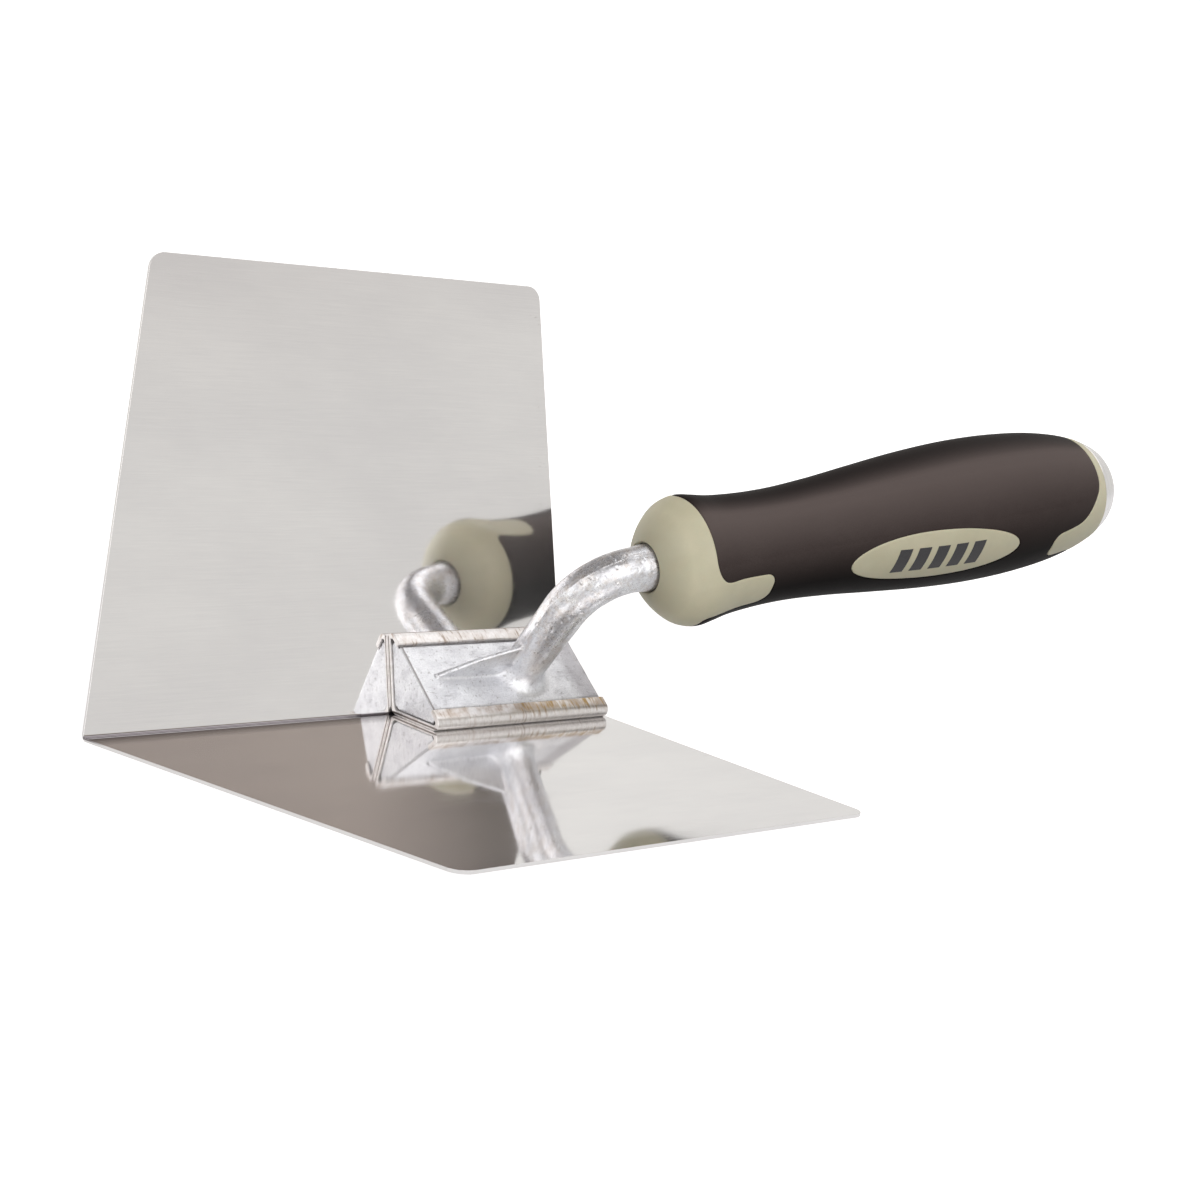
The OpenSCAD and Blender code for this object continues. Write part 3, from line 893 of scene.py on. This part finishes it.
def on_oval(side, along, across):
    """A point in the axes of the oval boss on one side, as seen from that side."""
    lean = math.radians(OVAL_LEAN)
    return (
        OVAL_AT[side][0] + along * math.cos(lean) - across * math.sin(lean),
        OVAL_AT[side][1] + along * math.sin(lean) + across * math.cos(lean),
    )


def oval_outline(side):
    return np.array([
        on_oval(side, OVAL_L / 2 * math.cos(a), OVAL_H / 2 * math.sin(a))
        for a in np.linspace(0, 2 * math.pi, 96, endpoint=False)
    ])


def inside_grip(u, y, w):
    """How far inside the soft grip's outline a point is, seen from the side; under 0 on the core."""
    near = outline_distance(u, w, oval_outline(-1))
    far = outline_distance(u, w, oval_outline(1))
    return np.minimum(-outline_distance(u, w, GRIP_OUTLINE), np.where(y < 0, near, far))


def core_depth(inside):
    """How deep the core lies under the handle's outline: a fine groove, then the bed of the grip."""
    groove = JOINT_GROOVE * np.clip(1 + inside / JOINT_GROOVE, 0, 1) ** 2
    bed = np.clip((inside - CORE_STEP_FROM) / (CORE_STEP_TO - CORE_STEP_FROM), 0, 1)
    return groove + (GRIP_T - JOINT_GROOVE) * bed


def grip_depth(inside):
    """How far the soft grip's rounded edge lies under the handle's outline."""
    return 0.9 * JOINT_GROOVE * np.clip(1 - inside / EDGE_ROUND, 0, 1) ** 2


def core_profile():
    """The core's half-section as (place along the axis, radius): hole, outline and rear face."""
    hole_end_u = SHANK_END_U + 0.15
    rear_u, rear_r = OUTLINE[-1]
    return np.vstack([
        [(hole_end_u, 0), (hole_end_u, SHANK_HOLE_R), (4.5, SHANK_HOLE_R), (4.05, 5.9)],
        OUTLINE[:-1],
        [(rear_u - 0.2, rear_r + 0.04), (rear_u - 0.03, rear_r - 0.2), (rear_u - 0.03, 0)],
    ])


def grid_rows(place):
    """Places along the profile for the grid: even steps on the outline, its own points beyond it."""
    spacing = 0.7
    start, end = place[4], place[-4]
    beyond = (place <= start) | (place >= end)
    return np.sort(np.concatenate([place[beyond], np.arange(start, end, spacing)[1:]]))


def cut_at_levels(rows, columns, heights):
    """A grid with a height at each point, cut along every level of the joint, as (points, faces)."""
    made = bmesh.new()
    grid = [
        [made.verts.new((row, column, height)) for column, height in zip(columns, row_heights)]
        for row, row_heights in zip(rows, heights)
    ]
    for near, far in zip(grid, grid[1:]):
        for j in range(len(columns) - 1):
            made.faces.new((near[j], near[j + 1], far[j + 1], far[j]))
    for level in JOINT_LEVELS:
        bmesh.ops.bisect_plane(
            made, geom=made.verts[:] + made.edges[:] + made.faces[:], dist=1e-5,
            plane_co=(0, 0, level), plane_no=(0, 0, 1))
    made.verts.index_update()
    points = np.array([v.co for v in made.verts])
    faces = [[v.index for v in f.verts] for f in made.faces]
    made.free()
    return points, faces


def cut_handle_grid():
    """A grid over the core's outline, cut where the soft grip's joint runs over it."""
    around = 224
    arm = 14.0
    profile = core_profile()
    place = np.concatenate([[0], np.cumsum(np.linalg.norm(np.diff(profile, axis=0), axis=1))])
    rows = grid_rows(place)
    angles = np.linspace(-1.5 * math.pi, 0.5 * math.pi, around + 1)
    u = np.interp(rows, place, profile[:, 0])
    r = np.interp(rows, place, profile[:, 1])
    inside = inside_grip(u[:, None], r[:, None] * np.cos(angles), r[:, None] * np.sin(angles))
    points, faces = cut_at_levels(rows, angles * arm, inside)
    return {
        "u": np.interp(points[:, 0], place, profile[:, 0]),
        "r": np.interp(points[:, 0], place, profile[:, 1]),
        "angle": points[:, 1] / arm,
        "inside": points[:, 2],
        "faces": faces,
    }


def around_axis(grid, depth):
    """The grid's points in the handle frame, this deep under the outline."""
    r = np.maximum(grid["r"] - depth, 0)
    return np.column_stack([grid["u"], r * np.cos(grid["angle"]), r * np.sin(grid["angle"])])


def merge_close(obj, reach=0.002):
    """Joins points that lie together, such as along a closed grid's seam."""
    made = bmesh.new()
    made.from_mesh(obj.data)
    bmesh.ops.remove_doubles(made, verts=made.verts, dist=reach * MM)
    bmesh.ops.dissolve_degenerate(made, edges=made.edges, dist=reach * MM / 4)
    bmesh.ops.recalc_face_normals(made, faces=made.faces)
    made.to_mesh(obj.data)
    made.free()
    obj.data.shade_smooth()


def core_moulding(grid):
    points = around_axis(grid, core_depth(grid["inside"]))
    obj = piece("core_moulding", points, grid["faces"], AT_HANDLE, plastic_material())
    merge_close(obj)
    sharp_edges(obj, 50)
    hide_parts("handle_core")
    return obj


def grip_skin(grid):
    """The soft grip as a closed skin: outer face, inner face and the thin edge between them."""
    inside = grid["inside"]
    covered = [f for f in grid["faces"] if min(inside[i] for i in f) > -1e-4]
    outer = around_axis(grid, grip_depth(inside))
    inner = around_axis(grid, np.maximum(core_depth(inside) - 0.01, grip_depth(inside) + 0.01))
    count = len(outer)
    edges = {}
    for face in covered:
        for a, b in zip(face, face[1:] + face[:1]):
            edges[(a, b)] = edges.get((a, b), 0) + 1
    rim = [(a, b) for a, b in edges if (b, a) not in edges]
    seam = np.abs(np.abs(grid["angle"] + 0.5 * math.pi) - math.pi) < 1e-6
    faces = list(covered)
    faces += [[i + count for i in reversed(f)] for f in covered]
    faces += [[b, a, a + count, b + count] for a, b in rim if not (seam[a] and seam[b])]
    points = np.vstack([outer, inner])
    used = sorted({i for f in faces for i in f})
    renumber = {old: new for new, old in enumerate(used)}
    faces = [[renumber[i] for i in f] for f in faces]
    obj = piece("grip_skin", points[used], faces, AT_HANDLE, rubber_material())
    merge_close(obj)
    sharp_edges(obj, 60)
    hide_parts("grip_overmould")
    return obj


MARK_BARS = 5
MARK_ROWS = 8
MARK_COLUMNS = 4


def mark_points(side):
    """The lower and upper sheet of each printed bar, row by row, on one side of the handle."""
    bar_w = 3.6
    pitch = 5.6
    half_h = 3.0
    slant = 0.28
    ink = 0.05
    points = []
    for bar in range(MARK_BARS):
        for level in (-ink, ink):
            for j in range(MARK_ROWS + 1):
                across = half_h * (2 * j / MARK_ROWS - 1)
                bar_at = (bar - (MARK_BARS - 1) / 2) * pitch
                for i in range(MARK_COLUMNS + 1):
                    along = bar_at + bar_w * (i / MARK_COLUMNS - 0.5) + slant * across
                    u, w = on_oval(side, along, across)
                    r = np.interp(u, OUTLINE[:, 0], OUTLINE[:, 1]) + level
                    points.append((u, side * math.sqrt(r * r - w * w), w))
    return points


def bar_faces(base):
    """Faces of one bar from its first point: two sheets, and the thin edge round them."""
    across = MARK_COLUMNS + 1
    layer = (MARK_ROWS + 1) * across
    faces = []
    for j in range(MARK_ROWS):
        for i in range(MARK_COLUMNS):
            a = base + j * across + i
            quad = [a, a + 1, a + across + 1, a + across]
            faces.append([k + layer for k in quad])
            faces.append(quad[::-1])
    rim = list(range(across))
    rim += [(j + 1) * across - 1 for j in range(1, MARK_ROWS + 1)]
    rim += [MARK_ROWS * across + i for i in range(MARK_COLUMNS - 1, -1, -1)]
    rim += [j * across for j in range(MARK_ROWS - 1, 0, -1)]
    for a, b in zip(rim, rim[1:] + rim[:1]):
        faces.append([base + a, base + b, base + b + layer, base + a + layer])
    return faces


def oval_mark(name, side, material):
    """A plain printed mark on one oval boss: five slanted bars of ink on the plastic."""
    points = mark_points(side)
    step = len(points) // MARK_BARS
    faces = [face for bar in range(MARK_BARS) for face in bar_faces(bar * step)]
    obj = piece(name, points, faces, AT_HANDLE, material)
    merge_close(obj, 0.0005)
    sharp_edges(obj, 40)
    return obj


def cap_dome():
    dome = smooth_curve(CAP_STATIONS, 12)
    joint = [(CAP_U, 0), (CAP_U, CAP_JOINT_R - 0.35), (CAP_U + 0.1, CAP_JOINT_R - 0.14)]
    profile = [*joint, *map(tuple, dome[1:])]
    points, faces = turned(profile, 192)
    obj = piece("cap_dome", points, faces, AT_HANDLE, cap_material())
    sharp_edges(obj, 40)
    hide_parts("end_cap")
    return obj


# ---------------------------------------------------------------- stage, light and camera

def light_path(tree, kind="Is Camera Ray"):
    return add_node(tree, "ShaderNodeLightPath", {}, kind)


def world():
    """Soft studio surroundings: bright to about head height, darker above; plain white to the eye."""
    bands = [
        (0.0, (0.70, 0.69, 0.67)),
        (0.28, (0.70, 0.69, 0.67)),
        (0.42, (0.64, 0.62, 0.60)),
        (0.56, (0.37, 0.32, 0.28)),
        (0.66, (0.29, 0.245, 0.215)),
        (0.80, (0.14, 0.13, 0.13)),
    ]
    made = bpy.data.worlds.new("studio")
    bpy.context.scene.world = made
    made.use_nodes = True
    tree = made.node_tree
    background = tree.nodes["Background"].inputs
    direction = add_node(tree, "ShaderNodeTexCoord", {}, "Generated")
    x, y, z = (add_node(tree, "ShaderNodeSeparateXYZ", {0: direction}, axis) for axis in "XYZ")
    ramp = tree.nodes.new("ShaderNodeValToRGB")
    ramp.color_ramp.interpolation = "EASE"
    while len(ramp.color_ramp.elements) < len(bands):
        ramp.color_ramp.elements.new(0.5)
    for element, (height, colour) in zip(ramp.color_ramp.elements, bands):
        element.position = height
        element.color = (*colour, 1)
    tree.links.new(z, ramp.inputs[0])
    tree.links.new(direction_gain(tree, x, y, z), background["Strength"])
    tree.links.new(mixed(tree, light_path(tree), ramp.outputs[0], (1, 1, 1)), background["Color"])


def direction_gain(tree, x, y, z):
    """Strength by direction: a little more behind the tool, and a shaded patch high on its right."""
    patch_x = (0.56, 0.605)
    patch_y = (-0.3, -0.5)
    patch_z = (0.46, 0.56)
    patch_depth = 0.6
    behind_y = (0.0, 0.8)
    shade = combined(
        tree, "MULTIPLY", ranged(tree, x, *patch_x, 0, patch_depth), ranged(tree, z, *patch_z))
    shade = combined(tree, "MULTIPLY", shade, ranged(tree, y, *patch_y))
    gain = combined(tree, "SUBTRACT", ranged(tree, y, *behind_y, 0.97, 1.14), shade)
    return combined(tree, "MAXIMUM", gain, light_path(tree))


def floor_material():
    """Paper, near white to the camera and whiter far off, but dimmer in reflections and as a light."""
    glow_radii = (0.25, 0.8)
    seen_glow = (0.72, 1.1)
    reflected_glow = 0.6
    material = bpy.data.materials.new("floor_paper")
    material.use_nodes = True
    tree = material.node_tree
    shader = tree.nodes["Principled BSDF"].inputs
    tone = mixed(tree, light_path(tree), (0.20, 0.195, 0.19), (0.72, 0.715, 0.71))
    position = add_node(tree, "ShaderNodeTexCoord", {}, "Object")
    distance = add_node(tree, "ShaderNodeVectorMath", {0: position}, "Value", operation="LENGTH")
    glow = combined(
        tree, "MULTIPLY", ranged(tree, distance, *glow_radii, *seen_glow), light_path(tree))
    glow = combined(tree, "MULTIPLY_ADD", light_path(tree, "Is Glossy Ray"), reflected_glow, glow)
    tree.links.new(tone, shader["Base Color"])
    tree.links.new(glow, shader["Emission Strength"])
    shader["Roughness"].default_value = 0.9
    shader["Emission Color"].default_value = (1, 1, 1, 1)
    return material


def floor():
    """A plain pale floor, wide enough to meet the horizon."""
    half = 12.0
    under = -0.0002
    mesh = bpy.data.meshes.new("floor")
    corners = [(-half, -half, under), (half, -half, under), (half, half, under), (-half, half, under)]
    mesh.from_pydata(corners, [], [(0, 1, 2, 3)])
    mesh.materials.append(floor_material())
    obj = bpy.data.objects.new("floor", mesh)
    bpy.context.scene.collection.objects.link(obj)


def softbox(name, target, azimuth, elevation, distance, size, power):
    """A square area light, azimuth 0 on the -Y side and 90 on the +X side, aimed at a target."""
    a, e = math.radians(azimuth), math.radians(elevation)
    away = Vector((math.sin(a) * math.cos(e), -math.cos(a) * math.cos(e), math.sin(e)))
    data = bpy.data.lights.new(name, "AREA")
    data.shape = "SQUARE"
    data.size = size
    data.energy = power
    obj = bpy.data.objects.new(name, data)
    obj.location = target + away * distance
    obj.rotation_euler = away.to_track_quat("Z", "Y").to_euler()
    bpy.context.scene.collection.objects.link(obj)


def camera():
    """The photograph's viewpoint: in front of the tip, low and turned towards the handle."""
    azimuth, elevation, roll = -41.68, 9.52, 6.2
    eye = (-0.2515, -0.3135, 0.1070)
    data = bpy.data.cameras.new("camera")
    data.sensor_width = 36
    data.lens = 60.4
    data.clip_start = 0.01
    data.clip_end = 100
    obj = bpy.data.objects.new("camera", data)
    turn = Matrix.Rotation(math.radians(azimuth), 4, "Z")
    tip = Matrix.Rotation(math.radians(90 - elevation), 4, "X")
    lean = Matrix.Rotation(math.radians(roll), 4, "Z")
    obj.matrix_world = Matrix.Translation(eye) @ turn @ tip @ lean
    bpy.context.scene.collection.objects.link(obj)
    bpy.context.scene.camera = obj


# ---------------------------------------------------------------- scene

blade_sheet()
channel_sheet()
shank_cast()
handle_grid = cut_handle_grid()
core_moulding(handle_grid)
grip_skin(handle_grid)
ink_material = mark_material()
oval_mark("oval_mark_right", -1, ink_material)
oval_mark("oval_mark_left", 1, ink_material)
cap_dome()
welds = frame["nodes"]["spot_welds"]
welds.data.materials.clear()
welds.data.materials.append(weld_material())

world()
floor()
middle = (CAD_BOX[0] + CAD_BOX[1]) / 2
softbox("key", middle, -12, 28, 1.2, 1.3, 8)
softbox("fill", middle, -80, 22, 1.2, 0.8, 2.6)
softbox("right", middle, 92, 50, 1.2, 1.2, 2.9)
softbox("high", middle, 72, 67, 1.2, 0.6, 1.5)
camera()
bpy.context.scene.view_settings.view_transform = "Standard"
